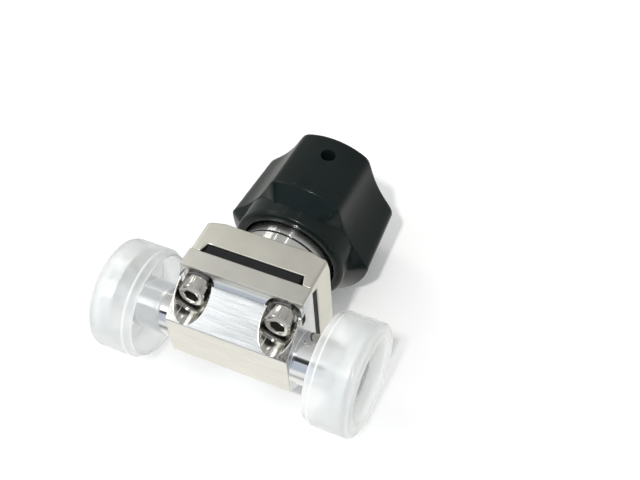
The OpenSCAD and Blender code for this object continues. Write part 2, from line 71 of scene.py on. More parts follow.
def grain(tree, per_mm, detail=3.0, rough=0.55):
    """A noise pattern on the piece's own coordinates, with this many changes per millimetre each way."""
    place = tree.nodes.new("ShaderNodeTexCoord")
    stretch = tree.nodes.new("ShaderNodeMapping")
    stretch.inputs["Scale"].default_value = [count / MM for count in per_mm]
    noise = tree.nodes.new("ShaderNodeTexNoise")
    noise.inputs["Scale"].default_value = 1.0
    noise.inputs["Detail"].default_value = detail
    noise.inputs["Roughness"].default_value = rough
    tree.links.new(place.outputs["Object"], stretch.inputs["Vector"])
    tree.links.new(stretch.outputs["Vector"], noise.inputs["Vector"])
    return noise.outputs["Fac"]


def spread(tree, value, low, high, start=0.3, stop=0.7):
    """Stretches a pattern to a range of values."""
    node = tree.nodes.new("ShaderNodeMapRange")
    for socket, number in (("From Min", start), ("From Max", stop), ("To Min", low), ("To Max", high)):
        node.inputs[socket].default_value = number
    tree.links.new(value, node.inputs["Value"])
    return node.outputs["Result"]


def tints(tree, value, colours, stops):
    """Colours laid along a pattern."""
    node = tree.nodes.new("ShaderNodeValToRGB")
    ramp = node.color_ramp
    while len(ramp.elements) < len(colours):
        ramp.elements.new(0.5)
    for element, colour, stop in zip(ramp.elements, colours, stops):
        element.position = stop
        element.color = (*colour, 1.0)
    tree.links.new(value, node.inputs["Fac"])
    return node.outputs["Color"]


def relief(tree, shader, height, depth_mm, strength=1.0):
    """Fine relief of a surface from a pattern."""
    node = tree.nodes.new("ShaderNodeBump")
    node.inputs["Strength"].default_value = strength
    node.inputs["Distance"].default_value = depth_mm * MM
    tree.links.new(height, node.inputs["Height"])
    tree.links.new(node.outputs["Normal"], shader.inputs["Normal"])


def steel(name, dark, light, roughness, lines_per_mm, depth_mm, tone_per_mm=(0.12, 0.12, 0.12)):
    """Stainless steel: tool lines in one direction, and faint clouds or streaks of tone."""
    finish, tree, shader = new_finish(name)
    lines = grain(tree, lines_per_mm, 4.0)
    tone = grain(tree, tone_per_mm, 2.0)
    shader.inputs["Metallic"].default_value = 1.0
    tree.links.new(tints(tree, tone, (dark, light), (0.3, 0.7)), shader.inputs["Base Color"])
    tree.links.new(spread(tree, lines, roughness[0], roughness[1]), shader.inputs["Roughness"])
    relief(tree, shader, lines, depth_mm)
    return finish


def split_flats(copy, splits):
    """Splits a piece along its middle and at each x in splits, so that no flat face has a hole in it."""
    for spot, across in [MIDDLE_PLANE] + [((x * MM, 0, 0), (1, 0, 0)) for x in splits]:
        everything = copy.verts[:] + copy.edges[:] + copy.faces[:]
        cut = bmesh.ops.bisect_plane(copy, geom=everything, dist=MERGE * MM, plane_co=spot, plane_no=across)
        for part in cut["geom_cut"]:
            if isinstance(part, bmesh.types.BMEdge):
                part.seam = True
    bmesh.ops.dissolve_limit(copy, angle_limit=FLAT_ANGLE, verts=copy.verts, edges=copy.edges,
                             delimit={"SEAM"})


def round_corners(copy, corner, radius_mm):
    """Rounds the upright edges at the corners of a block, given its half width and half depth in mm."""
    def at_corner(vert):
        return all(abs(abs(place) - half * MM) < NEAR * MM for place, half in zip(vert.co, corner))

    upright = [edge for edge in copy.edges if all(at_corner(vert) for vert in edge.verts)
               and abs(edge.verts[0].co.z - edge.verts[1].co.z) > UPRIGHT_LENGTH * MM]
    bmesh.ops.bevel(copy, geom=upright, offset=radius_mm * MM, segments=CORNER_STEPS, profile=0.5,
                    affect="EDGES")


def broken_edges(node, name, width_mm, steps=2, corner=None, corner_mm=0.0, whole=None, splits=()):
    """A merged copy of a machined piece with its sharp outer edges broken by a bevel. Inside corners stay
    sharp, and so do edges with both ends where the test called whole, given x, y and z in mm, says so."""
    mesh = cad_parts[node].data.copy()
    mesh.name = name
    copy = bmesh.new()
    copy.from_mesh(mesh)
    bmesh.ops.remove_doubles(copy, verts=copy.verts, dist=MERGE * MM)
    split_flats(copy, splits)
    if corner:
        round_corners(copy, corner, corner_mm)
    broken = copy.edges.layers.float.new("bevel_weight_edge")
    for edge in copy.edges:
        sharp = edge.calc_face_angle(0.0) > SHARP_ANGLE
        kept = not edge.is_convex or (whole and all(whole(*(vert.co / MM)) for vert in edge.verts))
        edge[broken] = float(sharp and not kept)
        edge.smooth = not (sharp and kept)
    copy.to_mesh(mesh)
    copy.free()
    mesh.shade_smooth()
    piece = bpy.data.objects.new(name, mesh)
    bpy.context.scene.collection.objects.link(piece)
    bevel = piece.modifiers.new("broken edge", "BEVEL")
    bevel.width = width_mm * MM
    bevel.segments = steps
    bevel.limit_method = "WEIGHT"
    bevel.use_clamp_overlap = False
    bevel.harden_normals = False
    even = piece.modifiers.new("even shading", "WEIGHTED_NORMAL")
    even.keep_sharp = True
    return piece


def dress(piece, finishes, body, material_slot, *nodes):
    """Gives a piece its finishes, its body and the nodes that it stands for."""
    chosen = [face.material_index for face in piece.data.polygons]
    piece.data.materials.clear()
    for finish in finishes:
        piece.data.materials.append(finish)
    piece.data.polygons.foreach_set("material_index", chosen)
    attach(piece, body)
    if nodes:
        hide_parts(*nodes)


def at_weld(x, y, z):
    """Whether a point of body or ferrule lies at a weld."""
    return abs(abs(x) - WELD_X) < NEAR


def in_passage(x, y, z):
    """Whether a point of the body lies on the bore or on the risers up to the weir."""
    in_riser = abs(x) < RISER_REACH[0] and abs(y) < RISER_REACH[1] and z > 0
    return math.hypot(y, z) < BORE_REACH or in_riser


def in_pocket(x, y):
    """Whether a point of the body lies in one of the screw pockets."""
    return math.hypot(abs(x) - SCREW_X, abs(y) - SCREW_Y) < POCKET_REACH


def left_whole(x, y, z):
    """Whether the edges at a point of the body stay sharp: at a weld, in a passage, and where a screw
    pocket all but meets the edge of the foot."""
    at_pocket_tip = in_pocket(x, y) and POCKET_TIP[0] < z < POCKET_TIP[1]
    return at_weld(x, y, z) or in_passage(x, y, z) or at_pocket_tip


milled_steel = steel("milled_steel", (0.62, 0.611, 0.567), (0.69, 0.681, 0.637), (0.28, 0.36),
                     (2.5, 9.0, 9.0), 0.0015)
foot_steel = steel("foot_steel", (0.8, 0.79, 0.74), (0.87, 0.86, 0.81), (0.26, 0.34),
                   (0.4, 6.0, 6.0), 0.0015, (0.1, 0.6, 0.6))
brushed_steel = steel("brushed_steel", (0.64, 0.66, 0.665), (0.82, 0.83, 0.835), (0.2, 0.34),
                      (0.12, 5.0, 5.0), 0.004, (0.1, 1.6, 1.6))
bright_steel = steel("bright_steel", (0.78, 0.79, 0.8), (0.87, 0.87, 0.87), (0.05, 0.11),
                     (0.3, 3.0, 3.0), 0.0006)
sawn_steel = steel("sawn_steel", (0.6, 0.622, 0.63), (0.7, 0.722, 0.73), (0.24, 0.34),
                   (6.0, 0.2, 6.0), 0.003, (1.0, 0.1, 0.8))
reamed_steel = steel("reamed_steel", (0.55, 0.54, 0.51), (0.72, 0.71, 0.68), (0.12, 0.2),
                     (1.8, 1.8, 0.06), 0.03)
BODY_FINISHES = (milled_steel, brushed_steel, bright_steel, reamed_steel, foot_steel, sawn_steel)
MILLED, BRUSHED, BRIGHT, REAMED, FOOT, SAWN = range(len(BODY_FINISHES))
block = broken_edges("valve_body", "body_block", width_mm=0.2, corner=(BODY_HALF_LENGTH, BODY_HALF_DEPTH),
                     corner_mm=0.5, whole=left_whole, splits=(-SCREW_X, SCREW_X))
for face in block.data.polygons:
    x, y, z = face.center / MM
    below_flange = z < FLANGE_UNDERSIDE
    if abs(x) > BODY_HALF_LENGTH + 0.05:
        face.material_index = BRIGHT
    elif in_pocket(x, y) and z < FLANGE_UNDERSIDE + 1:
        face.material_index = REAMED
    elif below_flange and abs(face.normal.y) > 0.2 and abs(face.normal.x) < 0.1:
        face.material_index = BRUSHED
    elif abs(face.normal.x) > 0.9:
        face.material_index = SAWN
    elif below_flange:
        face.material_index = FOOT
    else:
        face.material_index = MILLED
dress(block, BODY_FINISHES, "valve", "machined_steel", "valve_body")


# Clamp ferrules: short stainless tube ends with a clamp flange, turned and polished, butt welded to
# the body's tube stubs. The caps cover all but the tube.
for side in ("left", "right"):
    ferrule = broken_edges(f"{side}_ferrule", f"clamp_ferrule_{side}", width_mm=0.18, whole=at_weld)
    dress(ferrule, (bright_steel,), "valve", "machined_steel", f"{side}_ferrule")


# Diaphragm: a moulded black rubber sheet, square with its corners cut away for the bonnet's legs. Its
# edge is squeezed between body and bonnet and shows as a black band in the slots. A web of twelve
# sectors, which the real rubber bends, joins that edge to the hub; the hub follows the stem.
HUB_R, CLAMP_R, STIFF_R, WEB_SECTORS, WEB_STEPS = 4.6, 9.2, 5.0, 12, 6
WEB = [(HUB_R, 10.15, 11.61), (5.0, 10.25, 11.56), (5.5, 10.23, 11.4), (6.0, 10.17, 11.2), (6.5, 9.8, 11.14),
       (7.0, 9.35, 11.1), (7.5, 9.02, 11.09), (8.0, 8.83, 11.1), (8.6, 8.68, 11.15), (CLAMP_R, 8.57, 11.2)]
HUB = [(0.05, 9.62), (1.6, 9.66), (3.2, 9.78), (4.0, 9.98), (HUB_R, 10.15), (HUB_R, 11.61), (4.0, 11.68),
       (3.0, 11.78), (1.56, 11.86), (1.56, 11.16), (3.06, 11.16), (3.06, 10.44), (0.05, 10.44)]
CORE = [(CLAMP_R, 6.0), (CLAMP_R, 14.0)]


def black_rubber_finish():
    """Moulded rubber: dull, with a fine grain and a little bloom."""
    finish, tree, shader = new_finish("black_rubber")
    bloom = grain(tree, (0.6, 0.6, 0.6), 3.0)
    tree.links.new(tints(tree, bloom, ((0.004, 0.0045, 0.005), (0.012, 0.013, 0.014)), (0.35, 0.75)),
                   shader.inputs["Base Color"])
    tree.links.new(spread(tree, bloom, 0.5, 0.7), shader.inputs["Roughness"])
    shader.inputs["Specular IOR Level"].default_value = 0.3
    relief(tree, shader, grain(tree, (5.0, 5.0, 5.0), 2.0), 0.01, 0.5)
    return finish


def polar(radius, angle, height):
    """A point in metres from a radius, an angle and a height in mm."""
    return radius * math.cos(angle) * MM, radius * math.sin(angle) * MM, height * MM


def ring_mesh(name, rings, steps, closed=False):
    """A mesh of rings joined in order. A ring is (radius or radius at an angle, height), in mm. The first
    and the last ring are joined if it is closed, and filled if not."""
    mesh = bpy.data.meshes.new(name)
    shape = bmesh.new()
    angles = [math.tau * i / steps for i in range(steps)]
    loops = [[shape.verts.new(polar(radius(angle) if callable(radius) else radius, angle, height))
              for angle in angles] for radius, height in rings]
    pairs = list(zip(loops, loops[1:]))
    if closed:
        pairs.append((loops[-1], loops[0]))
    for low, high in pairs:
        for i in range(steps):
            j = (i + 1) % steps
            shape.faces.new((low[i], low[j], high[j], high[i]))
    if not closed:
        shape.faces.new(list(reversed(loops[0])))
        shape.faces.new(loops[-1])
    bmesh.ops.recalc_face_normals(shape, faces=shape.faces)
    shape.to_mesh(mesh)
    shape.free()
    return mesh


def swept_mesh(name, outlines):
    """A closed mesh of outlines of the same length joined in order, with a face at each end."""
    mesh = bpy.data.meshes.new(name)
    shape = bmesh.new()
    loops = [[shape.verts.new(point) for point in outline] for outline in outlines]
    count = len(loops[0])
    for a, b in zip(loops, loops[1:]):
        for i in range(count):
            shape.faces.new((a[i], b[i], b[(i + 1) % count], a[(i + 1) % count]))
    shape.faces.new(loops[0])
    shape.faces.new(list(reversed(loops[-1])))
    bmesh.ops.recalc_face_normals(shape, faces=shape.faces)
    shape.to_mesh(mesh)
    shape.free()
    return mesh


def smooth_piece(name, mesh, angle=30):
    """An object for a mesh, smooth but for its sharp edges."""
    mesh.name = name
    mesh.shade_smooth()
    mesh.set_sharp_from_angle(angle=math.radians(angle))
    piece = bpy.data.objects.new(name, mesh)
    bpy.context.scene.collection.objects.link(piece)
    return piece


def plain_mesh(piece):
    """The mesh of a piece as its modifiers make it."""
    bpy.context.view_layer.update()
    return bpy.data.meshes.new_from_object(piece.evaluated_get(bpy.context.evaluated_depsgraph_get()))


def cut_away(piece, tool):
    """Cuts a tool's shape out of a piece, removes the tool, and shades the piece smooth."""
    cut = piece.modifiers.new("cut", "BOOLEAN")
    cut.object = tool
    cut.solver = "EXACT"
    piece.modifiers.move(len(piece.modifiers) - 1, 0)
    mesh = plain_mesh(piece)
    piece.modifiers.clear()
    piece.data = mesh
    mesh.name = piece.name
    bpy.data.objects.remove(tool)
    mesh.shade_smooth()
    mesh.set_sharp_from_angle(angle=math.radians(40))


def web_sector(name, first, last):
    """One sector of the web between hub and clamped edge, a closed piece between two angles."""
    outline = [(r, low) for r, low, high in WEB] + [(r, high) for r, low, high in reversed(WEB)]
    angles = [first + (last - first) * i / WEB_STEPS for i in range(WEB_STEPS + 1)]
    outlines = [[polar(r, angle, z) for r, z in outline] for angle in angles]
    return smooth_piece(name, swept_mesh(name, outlines), 40)


black_rubber = black_rubber_finish()
clamped_edge = broken_edges("diaphragm", "rubber_edge", width_mm=0.45, steps=3)
cut_away(clamped_edge, smooth_piece("core", ring_mesh("core", CORE, 96)))
dress(clamped_edge, (black_rubber,), "valve", "black_rubber", "diaphragm")
hub = smooth_piece("rubber_hub", ring_mesh("rubber_hub", HUB, 72), 40)
dress(hub, (black_rubber,), "stem", "black_rubber")
for sector in range(WEB_SECTORS):
    first, last = (math.tau * (sector + step) / WEB_SECTORS for step in (0, 1))
    web = web_sector(f"rubber_web_{sector + 1}", first, last)
    web.data.materials.append(black_rubber)
    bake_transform(web)


# Compressor: the steel pusher inside the bonnet with its two cross pins, a bronze thrust washer and
# the stud that hooks the diaphragm. Milled and turned, out of sight once the bonnet is on.
satin_steel = steel("satin_steel", (0.64, 0.626, 0.562), (0.71, 0.696, 0.632), (0.29, 0.37),
                    (2.5, 9.0, 9.0), 0.0015)
bronze = steel("turned_bronze", (0.6, 0.4, 0.2), (0.72, 0.52, 0.28), (0.2, 0.35), (3.0, 3.0, 0.4), 0.004)


def coat_solids(finishes):
    """Gives each named solid, which stays as it is, its finish."""
    for node, finish in finishes.items():
        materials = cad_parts[node].data.materials
        materials.clear()
        materials.append(finish)


coat_solids({"compressor": satin_steel, "compressor_pins": bright_steel, "thrust_washer": bronze,
             "diaphragm_stud": bright_steel})


# Bonnet: a square stainless block on four corner legs, its top corners turned down in the lathe. The
# outside is satin, a little warmer in tone than the body, with bright broken edges.
BONNET_HALF, CAVITY_REACH = 15.9, 9.7
cover = broken_edges("bonnet", "bonnet_block", width_mm=0.35, steps=3, corner=(BONNET_HALF, BONNET_HALF),
                     corner_mm=0.8, whole=lambda x, y, z: math.hypot(x, y) < CAVITY_REACH,
                     splits=(-SCREW_X, SCREW_X))
dress(cover, (satin_steel,), "valve", "satin_steel", "bonnet")


# Screws and lock washers: four socket head cap screws put in from below through split lock washers,
# bright stainless; the sockets and the washers get darker steel as painted shade. One of each is made,
# then set at the four corners of the screw spacing.
HEAD_TOP, HEAD_UNDER, SHANK_TOP = -1.07, 3.1, 15.8
HEAD_R, SHANK_R, KEY = 3.43, 2.08, 3.57
KNURL_DEPTH, KNURL_RIDGES = 0.07, 24
WASHER_R, WASHER_IN, WASHER_Z = 3.75, 2.16, (3.1, 4.1)


def hexagon(across):
    """Radius of a hexagon's side at an angle."""
    return lambda angle: across / 2 / math.cos((angle + math.pi / 6) % (math.pi / 3) - math.pi / 6)


def corner_tree():
    """Geometry nodes: copies of a piece at the four corners of a spacing, each turned a little."""
    tree = bpy.data.node_groups.new("at_four_corners", "GeometryNodeTree")
    face = tree.interface
    face.new_socket("Piece", in_out="INPUT", socket_type="NodeSocketGeometry")
    for name in ("Spacing along", "Spacing across", "Most turn"):
        face.new_socket(name, in_out="INPUT", socket_type="NodeSocketFloat")
    face.new_socket("Finish", in_out="INPUT", socket_type="NodeSocketMaterial")
    face.new_socket("Set", in_out="OUTPUT", socket_type="NodeSocketGeometry")
    start, end = tree.nodes.new("NodeGroupInput"), tree.nodes.new("NodeGroupOutput")
    corners = tree.nodes.new("GeometryNodeMeshGrid")
    corners.inputs["Vertices X"].default_value = 2
    corners.inputs["Vertices Y"].default_value = 2
    turn = tree.nodes.new("FunctionNodeRandomValue")
    turn.data_type = "FLOAT"
    turn.inputs["Seed"].default_value = 7
    upright = tree.nodes.new("ShaderNodeCombineXYZ")
    copies = tree.nodes.new("GeometryNodeInstanceOnPoints")
    whole = tree.nodes.new("GeometryNodeRealizeInstances")
    coat = tree.nodes.new("GeometryNodeSetMaterial")
    link = tree.links.new
    link(start.outputs["Spacing along"], corners.inputs["Size X"])
    link(start.outputs["Spacing across"], corners.inputs["Size Y"])
    link(start.outputs["Most turn"], turn.inputs[3])
    link(turn.outputs[1], upright.inputs["Z"])
    link(corners.outputs["Mesh"], copies.inputs["Points"])
    link(start.outputs["Piece"], copies.inputs["Instance"])
    link(upright.outputs["Vector"], copies.inputs["Rotation"])
    link(copies.outputs["Instances"], whole.inputs["Geometry"])
    link(whole.outputs["Geometry"], coat.inputs["Geometry"])
    link(start.outputs["Finish"], coat.inputs["Material"])
    link(coat.outputs["Geometry"], end.inputs["Set"])
    return tree


def by_nodes(piece, tree, values):
    """Runs a geometry node tree on a piece with these input values and keeps the plain mesh."""
    made = piece.modifiers.new(tree.name, "NODES")
    made.node_group = tree
    for item in tree.interface.items_tree:
        if item.item_type == "SOCKET" and item.in_out == "INPUT" and item.name in values:
            made[item.identifier] = values[item.name]
    mesh = plain_mesh(piece)
    piece.modifiers.remove(made)
    old = piece.data
    piece.data = mesh
    bpy.data.meshes.remove(old)
    mesh.name = piece.name


def lock_washer_mesh():
    """A split spring washer: a square wire bent to a ring, its two ends a little apart in height."""
    gap, rise, steps = math.radians(17), 0.16, 40
    low, high = WASHER_Z
    section = [(WASHER_IN + 0.1, low), (WASHER_R - 0.15, low), (WASHER_R, low + 0.15),
               (WASHER_R, high - 0.15), (WASHER_R - 0.15, high), (WASHER_IN + 0.1, high),
               (WASHER_IN, high - 0.1), (WASHER_IN, low + 0.1)]
    outlines = []
    for i in range(steps + 1):
        share = i / steps
        angle = -math.pi / 3 + gap / 2 + (math.tau - gap) * share
        lean = rise * (share - 0.5)
        outlines.append([polar(r, angle, min(max(z + lean, low), high)) for r, z in section])
    return swept_mesh("split_washer", outlines)


def cap_screw_mesh():
    """A socket head cap screw: hexagon socket, rounded head edge, knurled side, neck and shank."""
    def knurled(angle):
        return HEAD_R - KNURL_DEPTH * (0.5 + 0.5 * math.cos(angle * KNURL_RIDGES))

    socket = [(0.05, HEAD_TOP + 2.6), (1.0, HEAD_TOP + 2.35), (hexagon(KEY), HEAD_TOP + 2.2),
              (hexagon(KEY), HEAD_TOP + 0.22), (hexagon(KEY + 0.3), HEAD_TOP)]
    head = [(HEAD_R - 0.5, HEAD_TOP), (HEAD_R - 0.3, HEAD_TOP + 0.05), (HEAD_R - 0.12, HEAD_TOP + 0.2),
            (HEAD_R - 0.03, HEAD_TOP + 0.45), (HEAD_R, HEAD_TOP + 0.8), (knurled, HEAD_TOP + 0.95),
            (knurled, HEAD_UNDER - 0.35), (HEAD_R, HEAD_UNDER - 0.2), (HEAD_R - 0.15, HEAD_UNDER)]
    shank = [(SHANK_R + 0.2, HEAD_UNDER), (SHANK_R, HEAD_UNDER + 0.2), (SHANK_R, SHANK_TOP - 0.4),
             (SHANK_R - 0.4, SHANK_TOP)]
    return ring_mesh("cap_screw", socket + head + shank, 96)


def socket_faces(mesh):
    """Gives the faces inside the hexagon sockets the second finish, a dark steel that is painted shade."""
    for face in mesh.polygons:
        x, y, z = face.center / MM
        from_axis = math.hypot(abs(x) - SCREW_X, abs(y) - SCREW_Y)
        face.material_index = int(HEAD_TOP + 0.15 < z < HEAD_UNDER and from_axis < KEY / 2 + 0.25)


screw_steel = steel("screw_steel", (0.56, 0.55, 0.52), (0.68, 0.67, 0.64), (0.14, 0.24),
                    (2.0, 2.0, 0.3), 0.004)
# Painted shade: a dark steel for the faces deep inside the sockets, where shade falls.
socket_painted_shade = steel("socket_painted_shade", (0.13, 0.127, 0.11), (0.24, 0.235, 0.21), (0.35, 0.5),
                     (3.0, 3.0, 3.0), 0.01)
# Painted shade: a darker steel for the lock washers, standing for the shade at the rims of the screw
# pockets.
washer_painted_shade = steel("washer_painted_shade", (0.3, 0.3, 0.295), (0.42, 0.42, 0.41), (0.25, 0.35),
                     (3.0, 3.0, 1.0), 0.006)
corners = corner_tree()
spacing = {"Spacing along": 2 * SCREW_X * MM, "Spacing across": 2 * SCREW_Y * MM}
screws = smooth_piece("cap_screws", cap_screw_mesh(), 28)
by_nodes(screws, corners, {**spacing, "Most turn": 1.0, "Finish": screw_steel})
socket_faces(screws.data)
dress(screws, (screw_steel, socket_painted_shade), "valve", "polished_steel", "bonnet_screws")
washers = smooth_piece("split_washers", lock_washer_mesh(), 28)
by_nodes(washers, corners, {**spacing, "Most turn": 0.6, "Finish": washer_painted_shade})
dress(washers, (washer_painted_shade,), "valve", "satin_steel", "lock_washers")


# Neck: a stainless sleeve turned and polished, pressed in the bonnet, with a thin black ring in a
# groove. Inside it sit the bronze spindle nut, its snap ring and the spindle's seal.
NECK_R, RING_R, RING_Z = 12.0, 0.22, 23.5
SEAL_MIDDLE, SEAL_R, SEAL_Z = 4.8, 0.8, 19.0


def turned_steel_finish():
    """Polished turned steel: rings of fine tool lines that draw highlights out along the axis."""
    finish, tree, shader = new_finish("turned_steel")
    lines = grain(tree, (0.05, 0.05, 6.0), 3.0)
    clouds = grain(tree, (0.1, 0.1, 0.3), 2.0)
    shader.inputs["Metallic"].default_value = 1.0
    tree.links.new(tints(tree, clouds, ((0.7, 0.7, 0.69), (0.8, 0.8, 0.79)), (0.3, 0.7)),
                   shader.inputs["Base Color"])
    tree.links.new(spread(tree, lines, 0.15, 0.19), shader.inputs["Roughness"])
    shader.inputs["Anisotropic"].default_value = 0.95
    shader.inputs["Anisotropic Rotation"].default_value = 0.25
    relief(tree, shader, lines, 0.0005)
    return finish


def wire_ring(name, middle_r, wire_r, height, steps=96, around=16):
    """A round ring of round wire or cord."""
    angles = [math.tau * i / around for i in range(around)]
    section = [(middle_r + wire_r * math.cos(angle), height + wire_r * math.sin(angle)) for angle in angles]
    return smooth_piece(name, ring_mesh(name, section, steps, closed=True))


turned_steel = turned_steel_finish()
neck = broken_edges("neck_sleeve", "neck_tube", width_mm=0.06)
dress(neck, (turned_steel,), "valve", "polished_steel", "neck_sleeve")
neck_ring = wire_ring("neck_ring", NECK_R - RING_R - 0.02, RING_R, RING_Z)
dress(neck_ring, (black_rubber,), "valve", "black_rubber", "neck_o_ring")
seal_ring = wire_ring("spindle_seal", SEAL_MIDDLE, SEAL_R, SEAL_Z)
dress(seal_ring, (black_rubber,), "valve", "black_rubber", "spindle_o_ring")
coat_solids({"spindle_nut": bronze, "nut_snap_ring": satin_steel})


# Spindle: a stainless rod with a rolled thread, its travel stop, hub, washers and nuts. All of it is
# inside the neck and the handle; only the set screw shows, deep in the handle's radial hole.
coat_solids({"spindle": turned_steel, "stop_collar": bronze, "stop_collar_screw": satin_steel,
             "handle_insert": satin_steel, "handle_set_screw": satin_steel, "spindle_washer": satin_steel,
             "spindle_top_nut": bright_steel})


# Handle: one black moulding with three lobes above a round skirt that runs down over the neck. The
# hollows between the lobes are wide shallow arcs, all sides lean in towards the top, edges are soft.
HANDLE = {"Lobe radius": 19.6, "Skirt radius": 15.1, "Hollow step": 0.1, "Hollow radius": 34.0,
          "Edge blend": 2.6, "Edge height": 33.0}
HANDLE_TURN, HANDLE_DRAFT, HOLLOW_DRAFT = math.radians(8.5), math.radians(4.0), math.radians(1.2)
LOBES, UNDER_SLOPE, SOFT_STAND = 3, 0.66, 1.6
SKIRT_IN, SKIRT_LOW, SKIRT_ROUND, SKIRT_ROOF = 12.6, 26.1, 1.0, 37.6
HANDLE_TOP, TOP_ROUND, EDGE_ROUND = 53.3, 1.2, 0.5
HUB_MOUTH_R, HUB_HOLE_R, HUB_LOW, HUB_HIGH = 6.7, 6.53, 39.6, 49.0
NUT_HOLE_R, SEAT_R, SEAT_Z = 6.1, 8.43, 51.9
HANDLE_STEPS = 360
HOLE_R, HOLE_Z, HOLE_FACE = 1.8, 46.7, 18.64
OUTLINE_PARTS = ("share", "inset", "lift", "under")


def handle_rings():
    """Rings of the handle's turned blank: radius, height, share of the lobed outline, inset from it,
    lift from its lower edge, and 1 on the sloping underside."""
    edge = HANDLE["Edge height"]
    skirt = HANDLE["Skirt radius"]
    plain = (0.0, 0.0, 0.0, 0.0)
    inner = [(HUB_MOUTH_R, SKIRT_ROOF), (SKIRT_IN - 0.3, SKIRT_ROOF), (SKIRT_IN, SKIRT_ROOF - 0.3),
             (SKIRT_IN, 30.0), (SKIRT_IN, SKIRT_LOW + 0.3), (SKIRT_IN + 0.1, SKIRT_LOW + 0.1),
             (SKIRT_IN + 0.3, SKIRT_LOW), (skirt - SKIRT_ROUND - 0.3, SKIRT_LOW)]
    for i in range(11):
        angle = math.radians(-90 + 9 * i)
        inner.append((skirt - SKIRT_ROUND + SKIRT_ROUND * math.cos(angle),
                      SKIRT_LOW + SKIRT_ROUND + SKIRT_ROUND * math.sin(angle)))
    inner += [(skirt, 28.0), (skirt, 29.0)]
    rings = [ring + plain for ring in inner]
    inset = EDGE_ROUND * (1 - math.sin(math.atan(UNDER_SLOPE)))
    for share in (0.0, 0.04, 0.12, 0.3, 0.5, 0.7, 0.85, 0.95):
        rings.append((skirt, edge, share, inset, 0.0, 1.0))
    centre = EDGE_ROUND * (math.hypot(1, UNDER_SLOPE) - UNDER_SLOPE)
    lowest = -90 + math.degrees(math.atan(UNDER_SLOPE))
    for i in range(10):
        angle = math.radians(lowest * (1 - i / 9))
        rings.append((skirt, edge, 1.0, EDGE_ROUND * (1 - math.cos(angle)),
                      centre + EDGE_ROUND * math.sin(angle), 0.0))
    for height in (34.5, 36.5, 39, 42, 45, 48, 50.5, HANDLE_TOP - TOP_ROUND):
        rings.append((skirt, height, 1.0, 0.0, 0.0, 0.0))
    for i in range(1, 10):
        angle = math.radians(10 * i)
        rings.append((skirt, HANDLE_TOP - TOP_ROUND + TOP_ROUND * math.sin(angle), 1.0,
                      TOP_ROUND * (1 - math.cos(angle)), 0.0, 0.0))
    for share in (0.9, 0.6, 0.3, 0.0):
        rings.append((SEAT_R + 0.32, HANDLE_TOP, share, TOP_ROUND, 0.0, 0.0))
    seat = [(SEAT_R + 0.12, HANDLE_TOP - 0.06), (SEAT_R + 0.04, HANDLE_TOP - 0.2),
            (SEAT_R, HANDLE_TOP - 0.7), (SEAT_R, SEAT_Z), (NUT_HOLE_R, SEAT_Z), (NUT_HOLE_R, HUB_HIGH),
            (HUB_HOLE_R, HUB_HIGH), (HUB_HOLE_R, HUB_LOW), (HUB_MOUTH_R, HUB_LOW)]
    return rings + [ring + plain for ring in seat]


def maths(tree, operation, *values):
    """The result of a calculation with sockets and numbers in a node tree."""
    node = tree.nodes.new("ShaderNodeMath")
    node.operation = operation
    for socket, value in zip(node.inputs, values):
        if isinstance(value, bpy.types.NodeSocket):
            tree.links.new(value, socket)
        else:
            socket.default_value = value
    return node.outputs["Value"]


